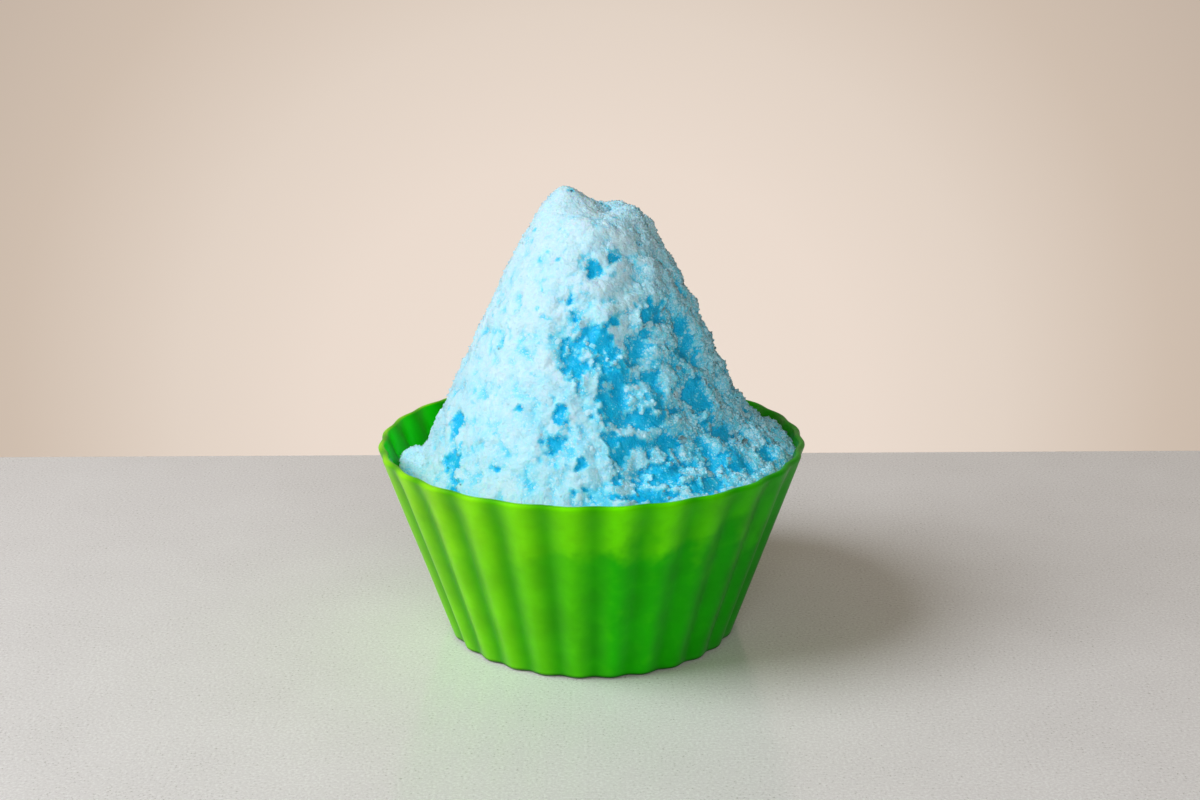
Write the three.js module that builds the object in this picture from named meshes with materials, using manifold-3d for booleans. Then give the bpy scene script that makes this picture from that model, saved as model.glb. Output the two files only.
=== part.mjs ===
// A heap of blue shaved ice in a fluted silicone baking cup, in millimetres, +Z up.
// The origin is the middle of the cup's foot. The front of the heap looks along -Y.
import * as THREE from "three";
import { mergeVertices } from "three/addons/utils/BufferGeometryUtils.js";
import Module from "manifold-3d";

const wasm = await Module();
wasm.setup();

const TURN = 2 * Math.PI;
const radians = THREE.MathUtils.degToRad;

// Driving dimensions of the cup
const CUP_HEIGHT = 32.8;
const RIM_RADIUS = 35.5;
const BASE_RADIUS = 24.2;
const WALL = 1.1;
const FLOOR = 1.6;
const FOOT_INNER_RADIUS = 19;
const FOOT_RECESS = 0.5;
const FOOT_BEVEL = 0.5;
const BASE_EDGE_RADIUS = 0.8;
const FLOOR_CORNER_RADIUS = 1.6;
const FLUTES = 28;
const BASE_FLUTE_DEPTH = 0.6;
const FLUTE_DEPTH = 0.9;
const RIM_FLUTE_DEPTH = 0.4;
const FLUTE_FADE = 5;
const FLUTE_PHASE = radians(7);
const SEGMENTS_PER_FLUTE = 5;

// Driving dimensions of the heap
const TOP_HEIGHT = 71.2;
const TOP_RADIUS = 9.2;
const TOP_SQUARENESS = 6;
const FLANK_SLOPE = 2.17;
const HEAP_MIDDLE = { x: 0, y: -1 };
const LOBES = [
  { count: 2, share: 0.035 },
  { count: 3, share: 0.03 },
];
const KNOB = { x: -4, y: 0, height: 3.5, spread: 2.75 };
const BED_LEVEL = 28.1;
const BED_TILT = 3.8;
const BED_HIGH_SIDE = radians(-30);
const SCREE_SLOPE = 0.55;
const SCREE_SLOPE_SWING = 0.2;
const SCREE_EDGE = 33.4;
const BEACH = { x: -29.8, y: -2.5, height: 5.6, spread: 2.9 };
const FOOT_BLEND = 1.2;

// Hollows where the syrup gathered: azimuth in degrees, height, half width, half height, depth
const SYRUP_HOLLOWS = [
  [-96, 52.8, 2.6, 3.4, 1.5],
  [-84, 51.8, 2.2, 2.4, 1.2],
  [-69, 51.8, 2.6, 2.4, 1.4],
  [-29, 49.5, 1.8, 2.2, 1.3],
  [-51, 54.8, 2.4, 1.5, 1.1],
  [-67, 47.5, 4.2, 1.4, 1.3],
  [-80, 45.2, 1.8, 4.0, 1.4],
  [-48, 43.2, 4.0, 1.8, 1.3],
  [-29, 37.5, 3.5, 2.0, 1.1],
  [-59, 38.5, 3.4, 1.6, 1.0],
  [-102, 39.7, 2.0, 2.2, 1.2],
  [-77, 34.8, 2.0, 2.4, 0.9],
  [-105, 59.6, 1.0, 1.6, 0.8],
  [-85, 63.3, 1.4, 1.6, 0.9],
  [-71, 65.3, 1.6, 1.0, 0.7],
  [-41, 66.3, 1.2, 1.4, 0.7],
  [-144, 38.3, 1.0, 1.4, 0.7],
  [-54, 35.3, 3.0, 1.5, 0.8],
  [25, 55.3, 2.6, 2.2, 1.1],
  [48, 44.3, 3.2, 2.0, 1.2],
  [75, 58.3, 2.2, 1.8, 1.0],
  [88, 40.3, 2.6, 3.0, 1.3],
  [112, 50.3, 3.6, 1.8, 1.2],
  [140, 43.3, 2.2, 2.4, 1.0],
  [160, 57.3, 1.8, 1.6, 0.8],
];

// Driving dimensions of the heap's surface
const CLEARANCE = 0.3;
const FACET = 1.7;
const WAVES = 16;
const SHORTEST_WAVE = 3.4;
const LONGEST_WAVE = 10;
const WAVE_STEEPNESS = 0.02;
const WAVE_ORDER_STEP = 0.618;
const CRAG = 0.22;
const RING_STAGGER = 0.25;
const SMOOTH_SIDE = radians(195);
const SMOOTH_SHARE = 0.35;
const CALM_EDGE = 2.4;
const CRUMBS = 90;
const SMALLEST_CRUMB = 0.65;
const LARGEST_CRUMB = 1.25;
const CRUMB_SINK = 0.25;
const CRUMB_FLATNESS = 0.35;

const TAPER = Math.atan((RIM_RADIUS - BASE_RADIUS) / CUP_HEIGHT);
const CUP_SEGMENTS = FLUTES * SEGMENTS_PER_FLUTE;

// A seeded stream of numbers from 0 to 1.
function randomStream(seed) {
  let state = seed;
  return () => {
    state = (Math.imul(state, 1664525) + 1013904223) >>> 0;
    return state / 2 ** 32;
  };
}

const outerRadius = (z) => BASE_RADIUS + z * Math.tan(TAPER);
const innerRadius = (z) => outerRadius(z) - WALL / Math.cos(TAPER);

// From 0 on the crest of each flute to 1 in the groove, with crests broader than the grooves.
function groove(angle) {
  const crest = (1 + Math.cos(FLUTES * (angle - FLUTE_PHASE))) / 2;
  return 1 - crest ** 0.8;
}

// The flutes grow shallower towards the foot and just under the rim.
function fluteDepth(z) {
  const rise = THREE.MathUtils.smoothstep(z, 0, FLUTE_FADE);
  const fade = THREE.MathUtils.smoothstep(z, CUP_HEIGHT - FLUTE_FADE, CUP_HEIGHT);
  const low = THREE.MathUtils.lerp(BASE_FLUTE_DEPTH, FLUTE_DEPTH, rise);
  return THREE.MathUtils.lerp(low, RIM_FLUTE_DEPTH, fade);
}

// The cup's inner wall, which the ice lies against.
const innerWall = (angle, z) => innerRadius(z) - fluteDepth(z) * groove(angle);

// Stations on an arc in the radius-height plane, each with the depth of its flutes.
function arcStations(centre, radius, startAngle, endAngle, steps) {
  return Array.from({ length: steps + 1 }, (_, i) => {
    const angle = THREE.MathUtils.lerp(startAngle, endAngle, i / steps);
    const z = centre.z + radius * Math.sin(angle);
    return { r: centre.r + radius * Math.cos(angle), z, flute: fluteDepth(z) };
  });
}

// The cup's section from the foot's recess, up the outside, over the rim and down the inside.
function cupStations() {
  const quarter = Math.PI / 2;
  const edgeHeight = BASE_EDGE_RADIUS * (1 - Math.sin(TAPER));
  const edge = {
    r: outerRadius(edgeHeight) - BASE_EDGE_RADIUS * Math.cos(TAPER),
    z: BASE_EDGE_RADIUS,
  };
  const rimHeight = CUP_HEIGHT - WALL / 2;
  const rim = {
    r: outerRadius(rimHeight - (WALL / 2) * Math.sin(TAPER)) - (WALL / 2) * Math.cos(TAPER),
    z: rimHeight,
  };
  const cornerHeight = FLOOR + FLOOR_CORNER_RADIUS;
  const corner = {
    r:
      innerRadius(cornerHeight - FLOOR_CORNER_RADIUS * Math.sin(TAPER)) -
      FLOOR_CORNER_RADIUS * Math.cos(TAPER),
    z: cornerHeight,
  };
  const fadeHeights = [FLUTE_FADE, CUP_HEIGHT - FLUTE_FADE, CUP_HEIGHT - FLUTE_FADE / 2];
  return [
    { r: FOOT_INNER_RADIUS, z: FOOT_RECESS, flute: 0 },
    { r: FOOT_INNER_RADIUS + FOOT_BEVEL, z: 0, flute: 0 },
    ...arcStations(edge, BASE_EDGE_RADIUS, -quarter, -TAPER, 2),
    ...fadeHeights.map((z) => ({ r: outerRadius(z), z, flute: fluteDepth(z) })),
    ...arcStations(rim, WALL / 2, -TAPER, Math.PI - TAPER, 4),
    ...fadeHeights.reverse().map((z) => ({ r: innerRadius(z), z, flute: fluteDepth(z) })),
    ...arcStations(corner, FLOOR_CORNER_RADIUS, -TAPER, -quarter, 1),
  ];
}

// A ring of points, from a function that gives each angle's point.
function ringOf(count, pointAt) {
  return Array.from({ length: count }, (_, i) => pointAt((i / count) * TURN));
}

// Joins rings into one closed surface. Neighbouring rings may have different numbers of points.
// The first and the last ring are closed with a fan round a middle point.
function closedSurface(rings, firstMiddle, lastMiddle) {
  const points = [firstMiddle, ...rings.flat(), lastMiddle];
  const starts = [];
  let next = 1;
  for (const ring of rings) {
    starts.push(next);
    next += ring.length;
  }
  const faces = [];
  const first = rings[0].length;
  for (let i = 0; i < first; i++) faces.push(0, 1 + ((i + 1) % first), 1 + i);
  for (let k = 0; k + 1 < rings.length; k++) {
    const [m, n] = [rings[k].length, rings[k + 1].length];
    let i = 0;
    let j = 0;
    while (i < m || j < n) {
      const a = starts[k] + (i % m);
      const b = starts[k + 1] + (j % n);
      if (j === n || (i < m && (i + 1) / m <= (j + 1) / n)) {
        i += 1;
        faces.push(a, starts[k] + (i % m), b);
      } else {
        j += 1;
        faces.push(a, starts[k + 1] + (j % n), b);
      }
    }
  }
  const last = rings.at(-1).length;
  const start = starts.at(-1);
  for (let i = 0; i < last; i++) faces.push(points.length - 1, start + i, start + ((i + 1) % last));
  const geometry = new THREE.BufferGeometry();
  geometry.setAttribute(
    "position",
    new THREE.Float32BufferAttribute(points.flatMap((p) => [p.x, p.y, p.z]), 3),
  );
  geometry.setIndex(faces);
  return geometry;
}

function cupGeometry() {
  const rings = cupStations().map(({ r, z, flute }) =>
    ringOf(CUP_SEGMENTS, (angle) => {
      const radius = r - flute * groove(angle);
      return new THREE.Vector3(radius * Math.cos(angle), radius * Math.sin(angle), z);
    }),
  );
  const under = new THREE.Vector3(0, 0, FOOT_RECESS);
  const inside = new THREE.Vector3(0, 0, FLOOR);
  return closedSurface(rings, under, inside);
}

const bump = (x, y, { x: cx, y: cy, height, spread }) =>
  height * Math.exp(-((x - cx) ** 2 + (y - cy) ** 2) / (2 * spread ** 2));

// The level of the ice along the cup's wall.
const bedLevel = (angle) => BED_LEVEL + BED_TILT * Math.cos(angle - BED_HIGH_SIDE);

// The heap's main form as a height over each place: a steep flank with a flat top and a knob,
// and scree that runs out to the wall.
function heapHeight(x, y) {
  const angle = Math.atan2(y, x);
  const lobe = LOBES.reduce((sum, { count, share }) => sum + share * Math.sin(count * angle), 1);
  const rho = Math.hypot(x - HEAP_MIDDLE.x, y - HEAP_MIDDLE.y) / lobe;
  const reach = (rho ** TOP_SQUARENESS + TOP_RADIUS ** TOP_SQUARENESS) ** (1 / TOP_SQUARENESS);
  const flank = TOP_HEIGHT - FLANK_SLOPE * (reach - TOP_RADIUS) + bump(x, y, KNOB);
  const scree = SCREE_SLOPE + SCREE_SLOPE_SWING * Math.cos(angle);
  const bed = bedLevel(angle) + scree * (SCREE_EDGE - Math.hypot(x, y)) + bump(x, y, BEACH);
  const apart = Math.abs(flank - bed) / FOOT_BLEND;
  return Math.max(flank, bed) + FOOT_BLEND * Math.log1p(Math.exp(-apart));
}

// The outward normal of the main form.
function heapNormal(x, y) {
  const step = 0.05;
  const slopeX = (heapHeight(x + step, y) - heapHeight(x - step, y)) / (2 * step);
  const slopeY = (heapHeight(x, y + step) - heapHeight(x, y - step)) / (2 * step);
  return new THREE.Vector3(-slopeX, -slopeY, 1).normalize();
}

// Waves in evenly spread directions, which together make the lumps of packed ice.
const LUMP_WAVES = Array.from({ length: WAVES }, (_, i) => {
  const golden = Math.PI * (3 - Math.sqrt(5));
  const up = 1 - (2 * i + 1) / WAVES;
  const side = Math.sqrt(1 - up * up);
  const length = SHORTEST_WAVE * (LONGEST_WAVE / SHORTEST_WAVE) ** ((i * WAVE_ORDER_STEP) % 1);
  const direction = new THREE.Vector3(side * Math.cos(i * golden), side * Math.sin(i * golden), up);
  return {
    direction: direction.multiplyScalar(TURN / length),
    size: WAVE_STEEPNESS * length,
    phase: i * golden,
  };
});
const lumps = (p) =>
  LUMP_WAVES.reduce((sum, { direction, size, phase }) => sum + size * Math.sin(direction.dot(p) + phase), 0);

// How far the syrup has sunk the surface at a point.
function hollowDepth(p) {
  const angle = Math.atan2(p.y, p.x);
  const radius = Math.hypot(p.x, p.y);
  return SYRUP_HOLLOWS.reduce((deepest, [azimuth, height, halfWidth, halfHeight, depth]) => {
    const turn = Math.atan2(Math.sin(angle - radians(azimuth)), Math.cos(angle - radians(azimuth)));
    const across = (turn * radius) / halfWidth;
    const along = (p.z - height) / halfHeight;
    return Math.max(deepest, depth * Math.exp(-(across ** 4 + along ** 4) / 2));
  }, 0);
}

// A point of the finished surface over a place, kept clear of the cup's wall.
function icePoint(radius, angle, jitter) {
  const [x, y] = [radius * Math.cos(angle), radius * Math.sin(angle)];
  const point = new THREE.Vector3(x, y, heapHeight(x, y));
  const room = innerWall(angle, point.z) - CLEARANCE - radius;
  const calm = THREE.MathUtils.smoothstep(room, 0, CALM_EDGE);
  const rough = 1 - SMOOTH_SHARE * (1 + Math.cos(angle - SMOOTH_SIDE));
  const lift = calm * (rough * lumps(point) - hollowDepth(point) + CRAG * jitter);
  point.addScaledVector(heapNormal(x, y), lift);
  const limit = innerWall(angle, point.z) - CLEARANCE;
  const reach = Math.hypot(point.x, point.y);
  if (point.z < CUP_HEIGHT && reach > limit) {
    point.x *= limit / reach;
    point.y *= limit / reach;
  }
  return point;
}

// The rings of the ice inside the cup, from its floor up to the edge of the bed.
function buriedRings() {
  const bottom = FLOOR + CLEARANCE;
  const chamfer = FLOOR_CORNER_RADIUS + CLEARANCE;
  const wallPoint = (angle, z, inset) => {
    const radius = innerWall(angle, z) - CLEARANCE - inset;
    return new THREE.Vector3(radius * Math.cos(angle), radius * Math.sin(angle), z);
  };
  return [
    ringOf(CUP_SEGMENTS, (angle) => wallPoint(angle, bottom, chamfer)),
    ringOf(CUP_SEGMENTS, (angle) => wallPoint(angle, bottom + chamfer, 0)),
    ringOf(CUP_SEGMENTS, (angle) => wallPoint(angle, bedLevel(angle) - 1, 0)),
    ringOf(CUP_SEGMENTS, (angle) => {
      const level = heapHeight(SCREE_EDGE * Math.cos(angle), SCREE_EDGE * Math.sin(angle));
      return wallPoint(angle, level, 0);
    }),
  ];
}

// The surface's rings, about one facet apart along the slope, with the space to the next one.
function surfaceSpacing() {
  const rings = [];
  let radius = innerRadius(BED_LEVEL) - CLEARANCE - FACET;
  while (radius > FACET / 2) {
    const normal = heapNormal(0, -radius);
    const space = FACET * normal.z;
    rings.push({ radius, space });
    radius -= space;
  }
  return rings;
}

function surfaceRings() {
  const random = randomStream(7);
  const draw = () => 2 * random() - 1;
  return surfaceSpacing().map(({ radius, space }) => {
    const count = Math.max(6, Math.round((TURN * radius) / FACET));
    const turn = (draw() * TURN) / count / 2;
    return ringOf(count, (step) => {
      const angle = step + turn;
      const edge = innerWall(angle, bedLevel(angle)) / innerRadius(BED_LEVEL);
      const nearEdge = (radius / SCREE_EDGE) ** 8;
      const shifted = radius * THREE.MathUtils.lerp(1, edge, nearEdge) + RING_STAGGER * space * draw();
      return icePoint(shifted, angle, draw());
    });
  });
}

const toSolid = (geometry) => {
  const bare = geometry.clone();
  bare.deleteAttribute("normal");
  bare.deleteAttribute("uv");
  const merged = mergeVertices(bare, 1e-4);
  return new wasm.Manifold(
    new wasm.Mesh({
      numProp: 3,
      vertProperties: new Float32Array(merged.attributes.position.array),
      triVerts: new Uint32Array(merged.index.array),
    }),
  );
};

const toGeometry = (solid) => {
  const mesh = solid.getMesh();
  const geometry = new THREE.BufferGeometry();
  geometry.setAttribute("position", new THREE.BufferAttribute(mesh.vertProperties, 3));
  geometry.setIndex(new THREE.BufferAttribute(mesh.triVerts, 1));
  return geometry;
};

// One loose crumb of ice, half sunk in the surface at a random place.
function crumb(random) {
  const angle = random() * TURN;
  const radius = Math.sqrt(random()) * (SCREE_EDGE - CALM_EDGE - LARGEST_CRUMB);
  const size = THREE.MathUtils.lerp(SMALLEST_CRUMB, LARGEST_CRUMB, random() ** 2);
  const geometry = new THREE.IcosahedronGeometry(size, 0);
  geometry.scale(1, 1 - CRUMB_FLATNESS * random(), 1 - CRUMB_FLATNESS * random());
  geometry.rotateX(random() * TURN);
  geometry.rotateZ(random() * TURN);
  const centre = icePoint(radius, angle, 0);
  centre.addScaledVector(heapNormal(centre.x, centre.y), -CRUMB_SINK * size);
  geometry.translate(centre.x, centre.y, centre.z);
  return toSolid(geometry);
}

// The heap with its crumbs fused on. Only the outer body is kept, so that no cavity is left inside.
function iceGeometry() {
  const rings = [...buriedRings(), ...surfaceRings()];
  const bottom = new THREE.Vector3(0, 0, FLOOR + CLEARANCE);
  const summit = icePoint(0, 0, 0);
  const core = toSolid(closedSurface(rings, bottom, summit));
  const random = randomStream(41);
  const crumbs = Array.from({ length: CRUMBS }, () => crumb(random));
  const fused = crumbs.reduce((sum, piece) => sum.add(piece), core);
  const bodies = fused.decompose().sort((a, b) => b.volume() - a.volume());
  return toGeometry(bodies[0]);
}

function namedMesh(name, geometry, material) {
  geometry.computeVertexNormals();
  const mesh = new THREE.Mesh(geometry, material);
  mesh.name = name;
  return mesh;
}

const greenSilicone = new THREE.MeshStandardMaterial({ color: 0x37b512, roughness: 0.42, metalness: 0 });
const blueIce = new THREE.MeshStandardMaterial({ color: 0x9ddcf2, roughness: 0.75, metalness: 0 });

const dessert = new THREE.Group();
dessert.add(namedMesh("baking_cup", cupGeometry(), greenSilicone));
dessert.add(namedMesh("shaved_ice", iceGeometry(), blueIce));

export default dessert;
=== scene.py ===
"""Blue shaved ice heaped in a green fluted silicone cup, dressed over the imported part.

Shapes are worked out in millimetres from the same named sizes as the solids.
The meshes are made in metres.
"""

import math
from types import SimpleNamespace

import bmesh
import bpy
import numpy as np
from mathutils import Matrix, Vector, noise


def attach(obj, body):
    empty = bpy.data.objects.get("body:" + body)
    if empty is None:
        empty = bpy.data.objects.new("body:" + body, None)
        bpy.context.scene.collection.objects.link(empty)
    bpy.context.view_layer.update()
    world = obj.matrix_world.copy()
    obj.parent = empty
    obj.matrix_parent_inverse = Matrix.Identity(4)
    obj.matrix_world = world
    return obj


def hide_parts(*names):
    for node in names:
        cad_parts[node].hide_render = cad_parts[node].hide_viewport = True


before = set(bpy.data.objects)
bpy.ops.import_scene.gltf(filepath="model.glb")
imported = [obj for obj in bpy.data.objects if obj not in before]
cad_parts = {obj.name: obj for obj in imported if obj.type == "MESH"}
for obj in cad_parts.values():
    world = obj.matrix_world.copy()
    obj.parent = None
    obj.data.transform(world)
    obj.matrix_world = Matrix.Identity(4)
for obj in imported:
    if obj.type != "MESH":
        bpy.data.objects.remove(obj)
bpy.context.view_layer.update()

MM = 0.001
TURN = 2 * math.pi

# The camera, in metres and degrees
CAMERA_PLACE = (0, -0.264655, 0.116594)
CAMERA_YAW = 0.3094
CAMERA_PITCH = 16.3443
CAMERA_ROLL = -0.2130
LENS = 50
SENSOR_WIDTH = 36
NEAREST_SEEN = 0.01

# The cup, as its solid has it
CUP_HEIGHT = 32.8
RIM_RADIUS = 35.5
BASE_RADIUS = 24.2
WALL = 1.1
FLOOR = 1.6
FOOT_INNER_RADIUS = 19
FOOT_RECESS = 0.5
FOOT_BEVEL = 0.5
BASE_EDGE_RADIUS = 0.8
FLOOR_CORNER_RADIUS = 1.6
FLUTES = 28
BASE_FLUTE_DEPTH = 0.6
FLUTE_DEPTH = 0.9
RIM_FLUTE_DEPTH = 0.4
FLUTE_FADE = 5
FLUTE_PHASE = math.radians(7)
CUP_COLUMNS_PER_FLUTE = 14
CUP_ROW = 0.8
CUP_ARC_STEPS = 8
CUP_WAVER = 0.07
CUP_WAVER_LENGTH = 16
CUP_WAVER_START = (2, 10)
CREST_BREADTH = 0.8

# The heap's main form, as its solid has it
TOP_HEIGHT = 71.2
TOP_RADIUS = 9.2
TOP_SQUARENESS = 6
FLANK_SLOPE = 2.17
HEAP_MIDDLE = (0, -1)
LOBES = [(2, 0.035), (3, 0.03)]
KNOB = {"x": -4, "y": 0, "height": 3.5, "spread": 2.75}
BED_LEVEL = 28.1
BED_TILT = 3.8
BED_HIGH_SIDE = math.radians(-30)
SCREE_SLOPE = 0.55
SCREE_SLOPE_SWING = 0.2
SCREE_EDGE = 33.4
BEACH = {"x": -29.8, "y": -2.5, "height": 5.6, "spread": 2.9}
CRUMBLY_BEACH = {"x": -29.8, "y": -4, "height": 1.5, "spread": 3.5}
FOOT_BLEND = 1.2
CLEARANCE = 0.3
SLOPE_STEP = 0.05

# Hollows where the syrup gathered: azimuth in degrees, height, half width, half height, depth
SYRUP_HOLLOWS = [
    (-96, 52.8, 2.6, 3.4, 1.5),
    (-84, 51.8, 2.2, 2.4, 1.2),
    (-69, 51.8, 2.6, 2.4, 1.4),
    (-29, 49.5, 1.8, 2.2, 1.3),
    (-51, 54.8, 2.4, 1.5, 1.1),
    (-67, 47.5, 4.2, 1.4, 1.3),
    (-80, 45.2, 1.8, 4.0, 1.4),
    (-48, 43.2, 4.0, 1.8, 1.3),
    (-29, 37.5, 3.5, 2.0, 1.1),
    (-59, 38.5, 3.4, 1.6, 1.0),
    (-102, 39.7, 2.0, 2.2, 1.2),
    (-77, 34.8, 2.0, 2.4, 0.9),
    (-105, 59.6, 1.0, 1.6, 0.8),
    (-85, 63.3, 1.4, 1.6, 0.9),
    (-71, 65.3, 1.6, 1.0, 0.7),
    (-41, 66.3, 1.2, 1.4, 0.7),
    (-144, 38.3, 1.0, 1.4, 0.7),
    (-54, 35.3, 3.0, 1.5, 0.8),
    (25, 55.3, 2.6, 2.2, 1.1),
    (48, 44.3, 3.2, 2.0, 1.2),
    (75, 58.3, 2.2, 1.8, 1.0),
    (88, 40.3, 2.6, 3.0, 1.3),
    (112, 50.3, 3.6, 1.8, 1.2),
    (140, 43.3, 2.2, 2.4, 1.0),
    (160, 57.3, 1.8, 1.6, 0.8),
]

# Pools of clear syrup on the surface: azimuth in degrees, height, half width, half height
SYRUP_POOLS = [
    (-98, 53.0, 2.0, 3.0),
    (-86, 53.4, 1.8, 1.2),
    (-68, 52.5, 1.6, 2.1),
    (-80, 48.7, 2.4, 2.8),
    (-62, 47.9, 2.2, 0.8),
    (-54, 56.7, 1.8, 1.3),
    (-60, 54.5, 0.9, 1.2),
    (-83, 45.0, 1.8, 2.1),
    (-59, 44.4, 1.6, 2.0),
    (-63, 42.2, 7.0, 1.0),
    (-37, 43.2, 2.0, 2.6),
    (-37, 49.8, 2.7, 1.5),
    (-72, 39.0, 1.7, 1.6),
    (-59, 38.7, 1.9, 1.1),
    (-47, 37.3, 0.8, 1.8),
    (-30, 37.7, 2.2, 1.4),
    (-79, 37.5, 1.6, 0.9),
    (-84, 40.4, 0.9, 1.1),
    (-65, 34.7, 4.0, 1.3),
    (-56, 33.2, 3.2, 0.8),
    (-40, 35.1, 3.1, 0.9),
    (-72, 32.6, 4.9, 0.7),
    (-27, 33.8, 1.6, 0.7),
    (-103, 39.7, 1.5, 1.5),
    (-101, 43.9, 1.1, 1.2),
    (-87, 63.8, 0.9, 1.3),
    (-73, 65.7, 0.7, 0.7),
    (-103, 59.8, 0.5, 0.8),
    (-144, 33.7, 2.3, 1.2),
    (-139, 31.2, 2.0, 1.1),
    (-150, 38.5, 1.4, 1.8),
    (-122, 35.0, 0.8, 0.7),
    (-117, 44.0, 0.7, 0.7),
    (-94, 36.9, 0.7, 0.7),
    (-82, 34.3, 0.7, 0.8),
    (-95, 47.9, 0.7, 0.7),
    (-77, 56.6, 0.7, 0.9),
    (25, 55.3, 2.6, 2.2),
    (48, 44.3, 3.2, 2.0),
    (75, 58.3, 2.2, 1.8),
    (88, 40.3, 2.6, 3.0),
    (112, 50.3, 3.6, 1.8),
    (140, 43.3, 2.2, 2.4),
    (160, 57.3, 1.8, 1.6),
    (60, 50.0, 1.4, 1.8),
    (100, 45.0, 1.2, 1.6),
    (128, 56.0, 1.1, 0.9),
    (5, 42.0, 1.5, 2.0),
]

# The lumps of packed ice, as the solid has them
WAVES = 16
SHORTEST_WAVE = 3.4
LONGEST_WAVE = 10
WAVE_STEEPNESS = 0.02
WAVE_ORDER_STEP = 0.618
SMOOTH_SIDE = math.radians(195)
SMOOTH_SHARE = 0.35
CALM_EDGE = 2.4

# The ice's mesh
ICE_SPACING = 0.3
RING_SHARE = 0.87
WALL_OVERLAP = 0.15
BURIED_COLUMNS = 5 * FLUTES
BURIED_TOP_DROP = 1.5
BURIED_SYRUP = 0.6

# The noises on the ice: wavelength, share and seed
NOISE_SEED = 11
SEED_SHIFT = 7.3
NOISES = {
    "clump": (4.2, 1, 2),
    "small clump": (2.1, 0.5, 3),
    "grain": (0.55, 1, 4),
    "broad edge": (3.4, 0.36, 6),
    "edge": (1.7, 0.5, 7),
    "stain_and_shade": (3.2, 0.16, 8),
    "fine edge": (0.9, 0.34, 14),
    "foam": (1.2, 1, 15),
    "clear": (0.7, 0.3, 16),
    "islands": (2.6, 1, 17),
}
WARP = {"length": 2.2, "reach": 0.9, "seed": 1}
NUDGE = {"length": 0.9, "reach": 0.35, "seed": 12}
CUP_WAVER_SEED = 11

# Crumbs side by side: wavelength and height of each size
PEBBLES = [(2.8, 0.9), (1.4, 0.6), (0.75, 0.26)]
PEBBLE_MIDDLE = 0.6
PEBBLE_SEED = 13

# The relief's heights. A pair is the least share and what the crumbly side adds to it
CLUMP_HEIGHT = 0.6
GRAIN_HEIGHT = 0.1
PEBBLE_RISE = (0.5, 0.8)
GRAIN_RISE = (0.7, 0.3)
POOL_DEPTH = 0.4
POOL_LEVEL = 0.3
POOL_SMOOTHING = 0.6
HOLLOW_SHARE = 0.6
SETTLE = 0.3

# The relief's least share, beside the wall, and what the middle adds to it
WALL_RELIEF = (0.6, 0.4)

# What the summit loses of each
SUMMIT_CLUMPS = 0.7
SUMMIT_PEBBLES = 0.45
SUMMIT_STAIN = 0.5

# Heights between which something fades in or out
SUMMIT = (58, 67)
SOAKED_FOOT = (30, 34)
SOAKED_TOP = (52, 62)
ISLANDS_TOP = (44, 52)
STAINED_FOOT = (30, 58)

# The side that the syrup ran down, and the side that lies in the shade, which is painted bluer as painted
# shade
SOAKED_SIDE = math.radians(-55)
SOAKED_WIDTH = math.radians(42)
SHADE_SIDE = math.radians(15)
SHADE_EDGE = (-0.2, 0.9)

# What draws syrup to a place or keeps it away, and how much of it makes a pool
SEEP = {"pool": 0.9, "soaked": 0.1, "bumps": 0.25, "smooth": 0.24, "grain": 0.12}
SEEP_FOAM = 0.35
SEEP_ISLANDS = 0.55
ISLAND_FOAM = 0.4
ISLAND_EDGE = (-0.05, 0.4)
POOL_EDGE = (0.36, 0.46)

# How much blue shows. The share named shade is painted shade: it makes the side that lies in the shade bluer
STAIN_AND_SHADE = {"all over": 0.04, "low": 0.1, "cavity": 0.3, "crisp cavity": 0.24, "soaked": 0.12, "shade": 0.24}
CAVITY_CLUMPS = 0.3
CAVITY_EDGE = (-0.25, 0.5)
HALO = 0.5
HALO_EDGE = (0.0, 0.38)
CLEAR_BLUE = 0.84
CLEAR_FOAM = 0.3

# Loose grains: radii, heights of their middles above the surface in radii, and what their tone is made of
GRAINS = {
    "frost_grains": {
        "count": 24500,
        "sizes": (0.12, 0.26),
        "seat": (-0.3, 0.8),
        "uneven": 0.35,
        "tone": (0.25, 0.5, 0.1),
        "seed": 3,
    },
    "coarse_frost": {
        "count": 8000,
        "sizes": (0.2, 0.42),
        "seat": (-0.6, 0.1),
        "uneven": 0.35,
        "tone": (0.25, 0.45, 0.1),
        "seed": 5,
    },
    "soaked_grains": {
        "count": 18000,
        "sizes": (0.1, 0.24),
        "seat": (-0.5, 0.2),
        "uneven": 0.35,
        "tone": (0.6, 0.4),
        "seed": 7,
    },
    "ice_crumbs": {
        "count": 1000,
        "sizes": (0.3, 0.75),
        "seat": (-0.7, -0.2),
        "uneven": 0.5,
        "tone": (0.2, 0.35, 0.08),
        "seed": 9,
    },
}
GRAIN_SOFTNESS = 0.62
GRAIN_CRISPNESS = (0.25, 0.75)
FRINGE_START = (0.1, 0.4)
FRINGE_END = (0.6, 0.9)
DRY_LIMIT = 1.04
WET_LEAST = 0.1
COARSE_SHARE = 0.4

# Places on the maps
SHELL_MAP_HEIGHT = 0.88
DISC_MAP_HEIGHT = 0.94
DISC_MAP_MIDDLES = (0.06, 0.18)
DISC_MAP_SCALE = 0.0018
CORE_MAP_RADIUS = 0.49
CORE_FOOT_MAP_CORNER = 0.03
CORE_FOOT_MAP_SCALE = 0.0008
GRAIN_PATCH = np.array([(0.15, 0.15), (0.85, 0.15), (0.15, 0.85)])

# Colours from frost to clear syrup
ICE_COLOURS = [
    (0.0, (0.57, 0.82, 0.94)),
    (0.16, (0.42, 0.79, 0.94)),
    (0.4, (0.16, 0.70, 0.92)),
    (0.66, (0.02, 0.55, 0.88)),
    (1.0, (0.002, 0.47, 0.84)),
]
CORE_SCATTERING = 0.35

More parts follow.
